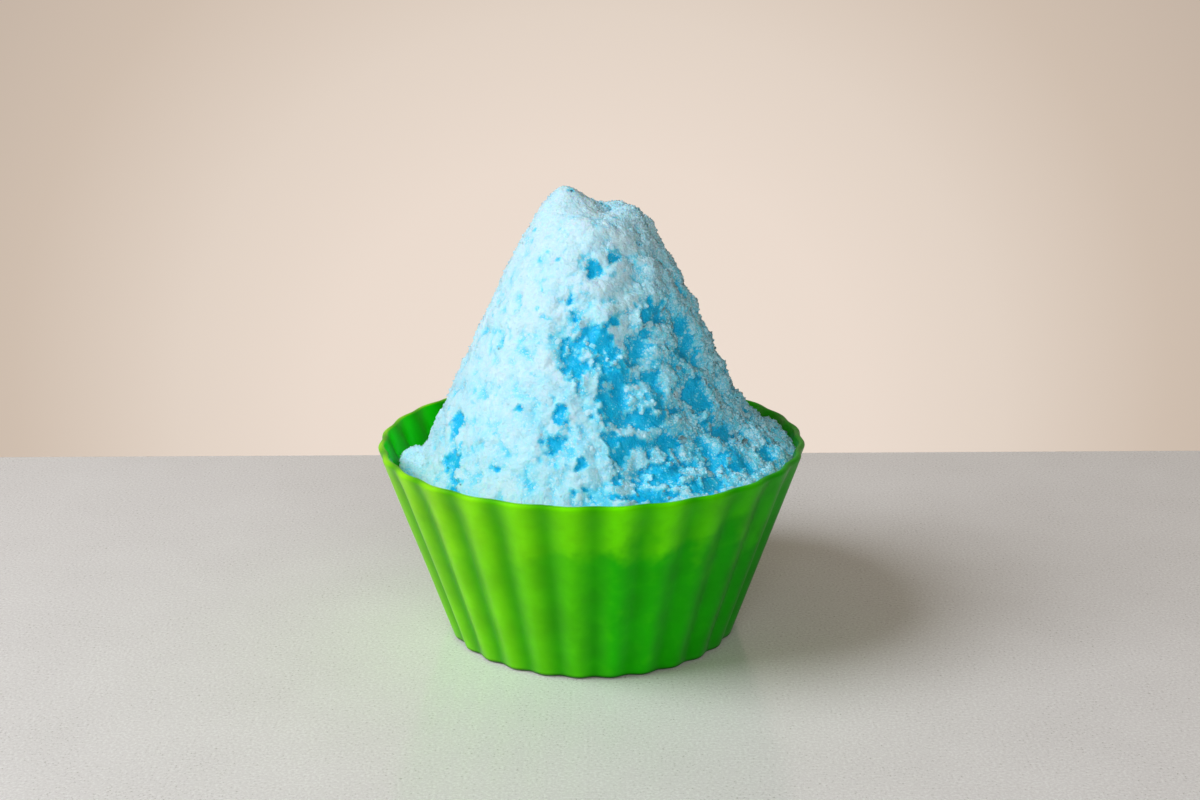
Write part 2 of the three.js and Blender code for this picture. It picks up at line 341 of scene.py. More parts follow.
# The ice's looks. A noise's scale is for a metre, and a roughness is that of frost and what syrup adds
ICE_BROAD_SCALE = 900
ICE_FINE_SCALE = 2600
ICE_BROAD_SHARE = 0.24
ICE_FINE_SHARE = 0.2
ICE_NOISE_MIDDLE = 0.23
ICE_BUMP_SHARE = 0.8
ICE_BUMP = 0.00018
ICE_ROUGHNESS = (0.75, -0.45)

# The silicone's looks. A pair is a plain value and what its noise adds
GLOW_SCALE = 130
MOTTLE_SCALE = 420
BLOTCH_SCALE = 210
SKIN_SCALE = 1500
MOTTLE_SHARE = 0.4
MOTTLE_MIDDLE = 0.2
PAINTED_LIGHT_SLOPE = 15.0
GROOVE_SHADE_TINT = 0.68
GROOVE_SHADE = -0.2
BLOTCHES = (0.83, 0.5)
SKIN_BUMP = 0.00003
SILICONE_ROUGHNESS = (0.3, 0.14)

# The silicone's colours with painted light, lighter and yellower on the left where the key light falls and
# darker on the right as painted shade: low on the wall, high on it in the painted glow, and inside
LOW_COLOURS = [
    (0.1, (0.22, 0.66, 0.008)),
    (0.3, (0.155, 0.65, 0.004)),
    (0.55, (0.01, 0.45, 0)),
    (0.9, (0, 0.23, 0)),
]
PAINTED_GLOW_COLOURS = [
    (0.1, (0.27, 0.72, 0.008)),
    (0.3, (0.19, 0.71, 0.004)),
    (0.55, (0.14, 0.77, 0)),
    (0.95, (0.005, 0.32, 0)),
]
LINING_COLOURS = [
    (0.1, (0.001, 0.78, 0)),
    (0.5, (0.005, 0.5, 0)),
    (0.95, (0.01, 0.3, 0)),
]
GROOVE_SHADE_COLOUR = (0.003, 0.36, 0, 1)

# Heights on the cup in metres: where the painted glow starts, standing in for the ice behind the wall shining
# through, and the foot, darkened as a painted contact shadow
PAINTED_GLOW_HEIGHTS = (0.035, 0.043)
GLOW_WAVER = 0.03
FOOT_HEIGHTS = (0.0003, 0.0008)
FOOT_SHADE = 0.25

# The table, the wall and the lights, in metres
TABLE_BACK = 0.0914
TABLE_FRONT = -1.2
TABLE_HALF_WIDTH = 1.4
TABLE_THICKNESS = 0.03
TABLE_BEVEL = 0.0015
WALL_PLACE = 0.9
WALL_THICKNESS = 0.02
WALL_HALF_WIDTH = 2.5
WALL_HALF_HEIGHT = 1.8
WALL_LIGHT_DROP = 0.25
LIGHT_DISTANCE = 0.9
LIGHT_AIM = Vector((0, 0, 0.03))
TABLE_COLOURS = [
    (0.38, (0.44, 0.43, 0.40)),
    (0.45, (0.76, 0.75, 0.75)),
    (0.58, (0.79, 0.775, 0.775)),
    (0.66, (0.88, 0.88, 0.875)),
]
WALL_GLOW_COLOURS = [
    (0.0, (0.87, 0.75, 0.66)),
    (0.2, (0.83, 0.71, 0.62)),
    (0.3, (0.76, 0.65, 0.56)),
    (0.42, (0.63, 0.52, 0.43)),
    (0.6, (0.50, 0.41, 0.34)),
]
SPECK_SCALE = 2200
CLOUD_SCALE = 60
CLOUD_SHARE = 0.12
KEY = {
    "towards": (-0.7, -0.227, 0.677),
    "size": 0.55,
    "energy": 6.9,
    "colour": (0.93, 0.95, 0.98),
}
CARD = {
    "towards": (0.08, -0.93, 0.34),
    "size": 0.8,
    "energy": 3.7,
    "colour": (0.99, 0.98, 0.96),
}
SKY_COLOUR = (1.0, 0.8, 0.52, 1)
SKY_STRENGTH = 0.12

TAPER = math.atan((RIM_RADIUS - BASE_RADIUS) / CUP_HEIGHT)


def smoothstep(value, low, high):
    """From 0 at low to 1 at high, with soft ends."""
    share = np.clip((value - low) / (high - low), 0, 1)
    return share * share * (3 - 2 * share)


def lerp(low, high, share):
    """The value at a share of the way from low to high."""
    return low + (high - low) * share


def outer_radius(z):
    """The cup's radius outside, on its flutes' crests."""
    return BASE_RADIUS + z * math.tan(TAPER)


def inner_radius(z):
    """The cup's radius inside, where the crests are."""
    return outer_radius(z) - WALL / math.cos(TAPER)


def groove(angle):
    """From 0 on the crest of each flute to 1 in the groove, with crests broader than the grooves."""
    crest = (1 + np.cos(FLUTES * (angle - FLUTE_PHASE))) / 2
    return 1 - crest**CREST_BREADTH


def flute_depth(z):
    """The flutes grow shallower towards the foot and just under the rim."""
    low = lerp(BASE_FLUTE_DEPTH, FLUTE_DEPTH, smoothstep(z, 0, FLUTE_FADE))
    return lerp(low, RIM_FLUTE_DEPTH, smoothstep(z, CUP_HEIGHT - FLUTE_FADE, CUP_HEIGHT))


def inner_wall(angle, z):
    """The radius of the cup's fluted inside."""
    return inner_radius(z) - flute_depth(z) * groove(angle)


def bump(x, y, spot):
    """A round rise over a spot."""
    apart = (x - spot["x"]) ** 2 + (y - spot["y"]) ** 2
    return spot["height"] * np.exp(-apart / (2 * spot["spread"] ** 2))


def bed_level(angle):
    """How high the ice lies along the cup's wall."""
    return BED_LEVEL + BED_TILT * np.cos(angle - BED_HIGH_SIDE)


def heap_height(x, y):
    """The heap's main form: a steep flank with a flat top and a knob, and scree that runs out to the wall."""
    angle = np.arctan2(y, x)
    lobe = 1 + sum(share * np.sin(count * angle) for count, share in LOBES)
    rho = np.hypot(x - HEAP_MIDDLE[0], y - HEAP_MIDDLE[1]) / lobe
    reach = (rho**TOP_SQUARENESS + TOP_RADIUS**TOP_SQUARENESS) ** (1 / TOP_SQUARENESS)
    flank = TOP_HEIGHT - FLANK_SLOPE * (reach - TOP_RADIUS) + bump(x, y, KNOB)
    scree = SCREE_SLOPE + SCREE_SLOPE_SWING * np.cos(angle)
    bed = bed_level(angle) + scree * (SCREE_EDGE - np.hypot(x, y)) + bump(x, y, BEACH)
    apart = np.abs(flank - bed) / FOOT_BLEND
    return np.maximum(flank, bed) + FOOT_BLEND * np.log1p(np.exp(-apart))


def heap_normal(x, y):
    """The outward normal of the heap's main form."""
    step = SLOPE_STEP
    slope_x = (heap_height(x + step, y) - heap_height(x - step, y)) / (2 * step)
    slope_y = (heap_height(x, y + step) - heap_height(x, y - step)) / (2 * step)
    normal = np.stack([-slope_x, -slope_y, np.ones_like(slope_x)], axis=-1)
    return normal / np.linalg.norm(normal, axis=-1, keepdims=True)


def lumps(points):
    """Waves in evenly spread directions, which together make the lumps of packed ice."""
    golden = math.pi * (3 - math.sqrt(5))
    total = np.zeros(len(points))
    for i in range(WAVES):
        up = 1 - (2 * i + 1) / WAVES
        side = math.sqrt(1 - up * up)
        length = SHORTEST_WAVE * (LONGEST_WAVE / SHORTEST_WAVE) ** ((i * WAVE_ORDER_STEP) % 1)
        direction = np.array([side * math.cos(i * golden), side * math.sin(i * golden), up])
        total += WAVE_STEEPNESS * length * np.sin(points @ direction * TURN / length + i * golden)
    return total


def reach_of(points, azimuth, height, half_width, half_height):
    """How far across and along each point is from the middle of a spot, in the spot's own half sizes."""
    angle = np.arctan2(points[:, 1], points[:, 0])
    turn = (angle - math.radians(azimuth) + math.pi) % TURN - math.pi
    across = turn * np.hypot(points[:, 0], points[:, 1]) / half_width
    return across, (points[:, 2] - height) / half_height


def hollow_depth(points):
    """How far the syrup has sunk the surface at each point."""
    depth = np.zeros(len(points))
    for *spot, deepest in SYRUP_HOLLOWS:
        across, along = reach_of(points, *spot)
        depth = np.maximum(depth, deepest * np.exp(-(across**4 + along**4) / 2))
    return depth


def pool_nearness(points):
    """From 0 far from every pool of syrup to 1 in the middle of one."""
    nearness = np.zeros(len(points))
    for spot in SYRUP_POOLS:
        across, along = reach_of(points, *spot)
        nearness = np.maximum(nearness, np.exp(-(across**2 + along**2) / 2))
    return nearness


def noise_at(points, length, seed):
    """Smooth noise from about -1 to 1 with a given wavelength."""
    places = points / length + SEED_SHIFT * seed
    return np.array([noise.noise(place) for place in places.tolist()])


def named_noise(points, name):
    """One of the named noises, times its share."""
    length, share, seed = NOISES[name]
    return share * noise_at(points, length, seed)


def shifted_by(points, warp):
    """The points, each moved by a smooth random shift."""
    places = points / warp["length"] + SEED_SHIFT * warp["seed"]
    shifts = np.array([noise.noise_vector(place) for place in places.tolist()])
    return points + warp["reach"] * shifts


def pebbles_at(points, length, seed):
    """Round bumps side by side, from 0 between them to about 1 on their tops."""
    places = points / length + SEED_SHIFT * seed
    nearest = np.array([noise.voronoi(place)[0][0] for place in places.tolist()])
    return 1 - np.clip(nearest, 0, 1) ** 2


def craggy(angle):
    """From low on the side where the ice is packed smooth to 1 on the crumbly side."""
    return 1 - SMOOTH_SHARE * (1 + np.cos(angle - SMOOTH_SIDE))


def polar(radius, angle, z):
    """Points from their distance to the axis, their angle and their height."""
    return np.stack([radius * np.cos(angle), radius * np.sin(angle), z], axis=-1)


def soaked_side(points):
    """1 in the middle of the front's right half, where the syrup ran down, and 0 away from it."""
    angle = np.arctan2(points[:, 1], points[:, 0])
    turn = (angle - SOAKED_SIDE + math.pi) % TURN - math.pi
    height = smoothstep(points[:, 2], *SOAKED_FOOT) * (1 - smoothstep(points[:, 2], *SOAKED_TOP))
    return np.exp(-((turn / SOAKED_WIDTH) ** 2)) * height


class Ice:
    """Points of the ice's surface with what the looks depend on."""

    def __init__(self, radius, angle):
        self.angle = angle
        self.base = polar(radius, angle, np.zeros_like(radius))
        self.base[:, 2] = heap_height(self.base[:, 0], self.base[:, 1])
        self.height = self.base[:, 2]
        self.room = inner_wall(angle, self.height) - CLEARANCE - radius
        self.rough = craggy(angle)
        self.crisp = self.rough**2
        self.summit = smoothstep(self.height, *SUMMIT)
        self.soaked = soaked_side(self.base)
        self.shifted = shifted_by(self.base, WARP)
        self.find_bumps()
        self.find_pools()
        self.raise_surface()
        self.hold_inside()
        self.find_syrup()

    def find_bumps(self):
        """Broad clumps, crumbs side by side and fine grain."""
        clump = named_noise(self.base, "clump") + named_noise(self.base, "small clump")
        self.clump = clump * (1 - SUMMIT_CLUMPS * self.summit)
        self.fine = named_noise(self.base, "grain")
        self.foam = named_noise(self.base, "foam")
        nudged = shifted_by(self.base, NUDGE)
        self.knobbly = sum(
            height * (pebbles_at(nudged, length, PEBBLE_SEED + k) - PEBBLE_MIDDLE)
            for k, (length, height) in enumerate(PEBBLES)
        )

    def find_pools(self):
        """Where syrup seeps out and where it makes pools, which have ragged edges and islands of frost."""
        edge = named_noise(self.shifted, "broad edge") + named_noise(self.shifted, "edge")
        edge += named_noise(self.base, "fine edge") + SEEP["grain"] * self.fine
        cover = named_noise(self.shifted, "islands") + ISLAND_FOAM * self.foam
        islands = (1 - smoothstep(self.height, *ISLANDS_TOP)) * smoothstep(cover, *ISLAND_EDGE)
        edge += self.soaked * (SEEP_FOAM * self.foam - SEEP_ISLANDS * islands)
        drawn = SEEP["pool"] * pool_nearness(self.shifted) + SEEP["soaked"] * self.soaked
        kept = drawn + edge - SEEP["bumps"] * self.knobbly
        self.seep = kept - SEEP["smooth"] * (1 - self.rough)
        self.pool = smoothstep(self.seep, *POOL_EDGE)

    def raise_surface(self):
        """The main form with its lumps, hollows and fine relief, all calmer beside the wall."""
        calm = smoothstep(self.room, 0, CALM_EDGE)
        dry = 1 - POOL_SMOOTHING * self.pool
        relief = CLUMP_HEIGHT * self.rough * self.clump - SETTLE
        rise = PEBBLE_RISE[0] + PEBBLE_RISE[1] * self.crisp
        relief += dry * rise * (1 - SUMMIT_PEBBLES * self.summit) * self.knobbly
        rise = GRAIN_RISE[0] + GRAIN_RISE[1] * self.crisp
        relief += dry * rise * GRAIN_HEIGHT * self.fine
        relief -= POOL_DEPTH * (self.pool - POOL_LEVEL)
        lift = calm * (self.rough * lumps(self.base) - HOLLOW_SHARE * hollow_depth(self.shifted))
        lift += (WALL_RELIEF[0] + WALL_RELIEF[1] * calm) * relief
        self.points = self.base + heap_normal(self.base[:, 0], self.base[:, 1]) * lift[:, None]

    def hold_inside(self):
        """Keeps what lies below the rim inside the cup's wall."""
        angle = np.arctan2(self.points[:, 1], self.points[:, 0])
        limit = inner_wall(angle, self.points[:, 2]) + WALL_OVERLAP
        reach = np.hypot(self.points[:, 0], self.points[:, 1])
        below = self.points[:, 2] < CUP_HEIGHT
        share = np.where(below & (reach > limit), limit / np.maximum(reach, 1e-9), 1)
        self.points[:, :2] *= share[:, None]

    def find_syrup(self):
        """How blue the ice is: bluer in its cavities, bluer on its shaded side as painted shade, with a halo
        round each pool.
        """
        cavity = smoothstep(-self.clump * CAVITY_CLUMPS - self.knobbly, *CAVITY_EDGE)
        low = 1 - smoothstep(self.height, *STAINED_FOOT)
        stain_and_shade = STAIN_AND_SHADE["all over"] + STAIN_AND_SHADE["low"] * low
        stain_and_shade += (STAIN_AND_SHADE["cavity"] + STAIN_AND_SHADE["crisp cavity"] * self.crisp) * cavity
        stain_and_shade += named_noise(self.base, "stain_and_shade") + STAIN_AND_SHADE["soaked"] * self.soaked
        # Painted shade: the side that lies in the shade is painted bluer
        stain_and_shade += STAIN_AND_SHADE["shade"] * smoothstep(np.cos(self.angle - SHADE_SIDE), *SHADE_EDGE)
        stain_and_shade *= 1 - SUMMIT_STAIN * self.summit
        halo = HALO * smoothstep(self.seep, *HALO_EDGE)
        clear = self.pool * (CLEAR_BLUE - CLEAR_FOAM * self.foam - named_noise(self.base, "clear"))
        self.syrup = np.clip(np.maximum(np.maximum(stain_and_shade, halo), clear), 0, 1)


def stitch(starts, counts):
    """Triangles between neighbouring rings, which may have different numbers of points."""
    faces = []
    for start, m, above, n in zip(starts, counts, starts[1:], counts[1:]):
        i = 0
        j = 0
        while i < m or j < n:
            a = start + i % m
            b = above + j % n
            if j == n or (i < m and (i + 1) * n <= (j + 1) * m):
                i += 1
                faces.append((a, start + i % m, b))
            else:
                j += 1
                faces.append((a, above + j % n, b))
    return faces


def surface_layout():
    """The radius and number of points of each ring from the wall to the summit."""
    layout = []
    radius = inner_radius(BED_LEVEL) + WALL_OVERLAP
    while radius > ICE_SPACING / 2:
        layout.append((radius, max(6, round(TURN * radius / ICE_SPACING))))
        radius -= ICE_SPACING * RING_SHARE * heap_normal(np.zeros(1), np.array([-radius]))[0, 2]
    return layout


def mesh_piece(name, points, triangles):
    """A mesh object from points in millimetres and triangles."""
    mesh = bpy.data.meshes.new(name)
    mesh.vertices.add(len(points))
    mesh.vertices.foreach_set("co", (points * MM).astype(np.float32).ravel())
    mesh.loops.add(3 * len(triangles))
    mesh.loops.foreach_set("vertex_index", triangles.astype(np.int32).ravel())
    mesh.polygons.add(len(triangles))
    mesh.polygons.foreach_set("loop_start", np.arange(0, 3 * len(triangles), 3, dtype=np.int32))
    mesh.update(calc_edges=True)
    mesh.polygons.foreach_set("use_smooth", np.ones(len(triangles), bool))
    piece = bpy.data.objects.new(name, mesh)
    bpy.context.scene.collection.objects.link(piece)
    return piece


def add_values(piece, name, values):
    """One value for each of the mesh's points."""
    attribute = piece.data.attributes.new(name, "FLOAT", "POINT")
    attribute.data.foreach_set("value", values.astype(np.float32))


def add_map(piece, places):
    """A UV map with one place for each corner."""
    layer = piece.data.uv_layers.new(name="OFBake")
    layer.data.foreach_set("uv", places.astype(np.float32).ravel())


def buried_rings():
    """Rings of the ice inside the cup, from its floor up to just under the bed's edge."""
    angle = np.arange(BURIED_COLUMNS) / BURIED_COLUMNS * TURN
    bottom = FLOOR + CLEARANCE
    chamfer = FLOOR_CORNER_RADIUS + CLEARANCE
    heights = [
        (np.full(BURIED_COLUMNS, bottom), chamfer),
        (np.full(BURIED_COLUMNS, bottom + chamfer), 0),
        (bed_level(angle) - BURIED_TOP_DROP, 0),
    ]
    return [polar(inner_wall(angle, z) - CLEARANCE - inset, angle, z) for z, inset in heights]


def make_surface(layout):
    """The ice's surface on the layout's rings, and last of all its summit."""
    radii = []
    angles = []
    for k, (radius, count) in enumerate(layout):
        angle = (np.arange(count) + 0.5 * (k % 2)) / count * TURN
        edge = inner_wall(angle, bed_level(angle)) / inner_radius(BED_LEVEL)
        radii.append(radius * lerp(1, edge, (radius / SCREE_EDGE) ** 8))
        angles.append(angle)
    return Ice(np.concatenate(radii + [np.zeros(1)]), np.concatenate(angles + [np.zeros(1)]))


def core_map(points, triangles, counts):
    """The heap's map as seen from above, with the disc under it in a corner."""
    ring = np.repeat(np.arange(len(counts)), counts)
    rho = np.concatenate([[1], 1 - ring / len(counts), [0]]) * CORE_MAP_RADIUS
    angle = np.arctan2(points[:, 1], points[:, 0])
    places = np.stack([0.5 + rho * np.cos(angle), 0.5 + rho * np.sin(angle)], axis=-1)[triangles]
    foot = points[triangles[: counts[0]]][:, :, :2]
    places[: counts[0]] = CORE_FOOT_MAP_CORNER + CORE_FOOT_MAP_SCALE * foot
    return places


def make_core():
    """The packed ice, one closed body from the cup's floor to the summit."""
    layout = surface_layout()
    surface = make_surface(layout)
    buried = buried_rings()
    hidden = np.concatenate([np.array([[0, 0, FLOOR + CLEARANCE]])] + buried)
    points = np.concatenate([hidden, surface.points])
    counts = [len(ring) for ring in buried] + [count for _, count in layout]
    starts = [1 + sum(counts[:k]) for k in range(len(counts))]
    summit = len(points) - 1
    last = starts[-1]
    faces = [(0, 1 + (i + 1) % counts[0], 1 + i) for i in range(counts[0])]
    faces += stitch(starts, counts)
    faces += [(summit, last + i, last + (i + 1) % counts[-1]) for i in range(counts[-1])]
    triangles = np.array(faces)
    bare = np.zeros(len(hidden))
    syrup = np.concatenate([bare + BURIED_SYRUP, surface.syrup])
    piece = mesh_piece("ice_core", points, triangles)
    add_values(piece, "syrup", syrup)
    add_map(piece, core_map(points, triangles, counts))
    open_to_air = np.concatenate([bare, np.ones(len(surface.points))])
    return SimpleNamespace(
        piece=piece, points=points, triangles=triangles, syrup=syrup, open_to_air=open_to_air
    )


def cup_section():
    """Stations of the cup's section as (radius, height), from the foot's recess over the rim to the floor."""
    quarter = math.pi / 2

    def arc(r, z, radius, first, last):
        turns = np.linspace(first, last, CUP_ARC_STEPS + 1)
        return [(r + radius * math.cos(t), z + radius * math.sin(t)) for t in turns]

    edge_height = BASE_EDGE_RADIUS * (1 - math.sin(TAPER))
    edge_r = outer_radius(edge_height) - BASE_EDGE_RADIUS * math.cos(TAPER)
    rim_z = CUP_HEIGHT - WALL / 2
    rim_r = outer_radius(rim_z - WALL / 2 * math.sin(TAPER)) - WALL / 2 * math.cos(TAPER)
    corner_z = FLOOR + FLOOR_CORNER_RADIUS
    corner_r = inner_radius(corner_z - FLOOR_CORNER_RADIUS * math.sin(TAPER))
    corner_r -= FLOOR_CORNER_RADIUS * math.cos(TAPER)
    rows = np.arange(BASE_EDGE_RADIUS + CUP_ROW, CUP_HEIGHT - WALL, CUP_ROW)
    inner_rows = [z for z in rows[::-1] if z > corner_z]
    return (
        [(FOOT_INNER_RADIUS, FOOT_RECESS), (FOOT_INNER_RADIUS + FOOT_BEVEL, 0)]
        + arc(edge_r, BASE_EDGE_RADIUS, BASE_EDGE_RADIUS, -quarter, -TAPER)
        + [(outer_radius(z), z) for z in rows]
        + arc(rim_r, rim_z, WALL / 2, -TAPER, math.pi - TAPER)
        + [(inner_radius(z), z) for z in inner_rows]
        + arc(corner_r, corner_z, FLOOR_CORNER_RADIUS, -TAPER, -quarter)
    )


def make_cup():
    """The silicone cup, one closed fluted shell."""
    stations = cup_section()
    columns = FLUTES * CUP_COLUMNS_PER_FLUTE
    angle = np.arange(columns) / columns * TURN
    rings = []
    for k, (r, z) in enumerate(stations):
        fluted = flute_depth(z) * groove(angle) if k > 1 else 0
        ring = polar(np.broadcast_to(r - fluted, angle.shape), angle, np.full(columns, float(z)))
        rings.append(ring)
    points = np.concatenate(rings)
    waver = CUP_WAVER * noise_at(points, CUP_WAVER_LENGTH, CUP_WAVER_SEED)
    waver = waver * smoothstep(points[:, 2], *CUP_WAVER_START)
    points[:, :2] *= (1 + waver / np.hypot(points[:, 0], points[:, 1]))[:, None]
    points = np.concatenate([points, np.array([[0, 0, FOOT_RECESS], [0, 0, FLOOR]])])
    under = len(points) - 2
    inside = len(points) - 1
    last = (len(stations) - 1) * columns
    i = np.arange(columns)
    j = (i + 1) % columns
    faces = []
    places = []
    for k in range(len(stations) - 1):
        low, high = k * columns, (k + 1) * columns
        faces.append(np.stack([low + i, low + j, high + j], axis=-1))
        faces.append(np.stack([low + i, high + j, high + i], axis=-1))
        u0, u1 = i / columns, (i + 1) / columns
        v0 = np.full(columns, SHELL_MAP_HEIGHT * k / len(stations))
        v1 = np.full(columns, SHELL_MAP_HEIGHT * (k + 1) / len(stations))
        places.append(np.stack([u0, v0, u1, v0, u1, v1], axis=-1).reshape(-1, 3, 2))
        places.append(np.stack([u0, v0, u1, v1, u0, v1], axis=-1).reshape(-1, 3, 2))
    faces.append(np.stack([np.full(columns, under), j, i], axis=-1))
    faces.append(np.stack([np.full(columns, inside), last + i, last + j], axis=-1))
    for middle, fan in zip(DISC_MAP_MIDDLES, faces[-2:]):
        places.append(np.array([middle, DISC_MAP_HEIGHT]) + DISC_MAP_SCALE * points[fan][:, :, :2])
    piece = mesh_piece("silicone_cup", points, np.concatenate(faces))
    add_values(piece, "groove", np.append(np.tile(groove(angle), len(stations)), (0, 0)))
    rim = int(np.argmax([z for _, z in stations]))
    inner = np.repeat(np.arange(len(stations)) > rim + 1, columns)
    add_values(piece, "inside", np.append(inner, (0, 1)))
    add_map(piece, np.concatenate(places))
    return piece


OCTAHEDRON = (
    np.array([(1, 0, 0), (-1, 0, 0), (0, 1, 0), (0, -1, 0), (0, 0, 1), (0, 0, -1)], float),
    np.array([(0, 2, 4), (2, 1, 4), (1, 3, 4), (3, 0, 4), (2, 0, 5), (1, 2, 5), (3, 1, 5), (0, 3, 5)]),
)


def icosphere(divisions):
    """The points and triangles of a sphere made from an icosahedron."""
    mesh = bpy.data.meshes.new("scratch")
    shape = bmesh.new()
    bmesh.ops.create_icosphere(shape, subdivisions=divisions, radius=1)
    shape.to_mesh(mesh)
    shape.free()
    points = np.array([vertex.co for vertex in mesh.vertices])
    triangles = np.array([list(polygon.vertices) for polygon in mesh.polygons])
    bpy.data.meshes.remove(mesh)
    return points, triangles


def turns(random, count):
    """Random rotations as matrices."""
    q = random.normal(size=(count, 4))
    w, x, y, z = (q / np.linalg.norm(q, axis=1, keepdims=True)).T
    return np.stack(
        [
            np.stack([1 - 2 * (y * y + z * z), 2 * (x * y - w * z), 2 * (x * z + w * y)], axis=-1),
            np.stack([2 * (x * y + w * z), 1 - 2 * (x * x + z * z), 2 * (y * z - w * x)], axis=-1),
            np.stack([2 * (x * z - w * y), 2 * (y * z + w * x), 1 - 2 * (x * x + y * y)], axis=-1),
        ],
        axis=1,
    )


def soft_normals(grains, normal):
    """Normals between a grain's own and the surface's, for light that spreads from grain to grain."""
    outward = grains / np.linalg.norm(grains, axis=2, keepdims=True)
    soft = outward * (1 - GRAIN_SOFTNESS) + normal[:, None] * GRAIN_SOFTNESS
    return soft / np.linalg.norm(soft, axis=2, keepdims=True)


def grain_map(count, faces):
    """Each grain has its own cell of the map, and all of its faces share a patch there."""
    cells = math.ceil(math.sqrt(count))
    cell = np.stack([np.arange(count) % cells, np.arange(count) // cells], axis=-1)
    return np.repeat((cell[:, None] + GRAIN_PATCH[None]) / cells, faces, axis=0)


def frosty(near, random, stained, soaked, spread):
    """Grains that stay nearly white, but take up the blue of a pool that they lie in."""
    return stained * near + soaked * near**3 + spread * random.random(len(near))


def drenched(near, random, least, spread):
    """Grains that took up most of the syrup near them."""
    return near * (least + spread * random.random(len(near)))


def scatter(core, name, shape, weights, tone):
    """Grains of one kind on the core's surface. tone gives each grain's syrup from that of its place."""
    kind = GRAINS[name]
    count = kind["count"]
    uneven = kind["uneven"]
    random = np.random.default_rng(kind["seed"])
    shape_points, shape_faces = shape
    corners = core.points[core.triangles]
    normals = np.cross(corners[:, 1] - corners[:, 0], corners[:, 2] - corners[:, 0])
    chance = np.linalg.norm(normals, axis=1) * weights[core.triangles].mean(axis=1)
    picks = random.choice(len(core.triangles), size=count, p=chance / chance.sum())
    shares = random.dirichlet((1, 1, 1), size=count)
    places = (corners[picks] * shares[:, :, None]).sum(axis=1)
    normal = normals[picks] / np.linalg.norm(normals[picks], axis=1, keepdims=True)
    size = lerp(*kind["sizes"], random.random(count) ** 2)
    stretch = 1 - uneven * random.random((count, 1, 3))
    jitter = 1 + uneven * (random.random((count, len(shape_points), 1)) - 0.5)
    grains = (shape_points[None] * stretch * jitter) @ turns(random, count).transpose(0, 2, 1)
    centres = places + normal * (lerp(*kind["seat"], random.random(count)) * size)[:, None]
    points = centres[:, None] + grains * size[:, None, None]
    first = np.arange(count)[:, None, None] * len(shape_points)
    piece = mesh_piece(name, points.reshape(-1, 3), (shape_faces[None] + first).reshape(-1, 3))
    soft = soft_normals(grains, normal).reshape(-1, 3)
    piece.data.normals_split_custom_set_from_vertices(soft.tolist())
    near = (core.syrup[core.triangles[picks]] * shares).sum(axis=1)
    values = tone(near, random, *kind["tone"])
    add_values(piece, "syrup", np.repeat(np.clip(values, 0, 1), len(shape_points)))
    add_map(piece, grain_map(count, len(shape_faces)))
    return piece


def add_grains(core):
    """Frost, wet grains and crumbs on the open surface, most of them on its crumbly side."""
    x = core.points[:, 0]
    y = core.points[:, 1]
    crisp = GRAIN_CRISPNESS[0] + GRAIN_CRISPNESS[1] * craggy(np.arctan2(y, x)) ** 2
    crisp += bump(x, y, CRUMBLY_BEACH)
    fringe = core.open_to_air * smoothstep(core.syrup, *FRINGE_START)
    fringe = fringe * (1 - smoothstep(core.syrup, *FRINGE_END)) * crisp
    dry = core.open_to_air * (DRY_LIMIT - core.syrup) ** 2 * crisp
    wet = core.open_to_air * (WET_LEAST + core.syrup) * crisp
    coarse = COARSE_SHARE * dry + fringe
    kinds = {
        "frost_grains": (OCTAHEDRON, dry + fringe, frosty),
        "coarse_frost": (icosphere(1), coarse, frosty),
        "soaked_grains": (OCTAHEDRON, wet, drenched),
        "ice_crumbs": (icosphere(2), coarse, frosty),
    }
    material = ice_material("ice_grains", 0)
    for name, (shape, weights, tone) in kinds.items():
        piece = scatter(core, name, shape, weights, tone)
        dress(piece, material)
        # Light goes through the fine grains, and only the crumbs cast a shadow
        piece.visible_shadow = name == "ice_crumbs"


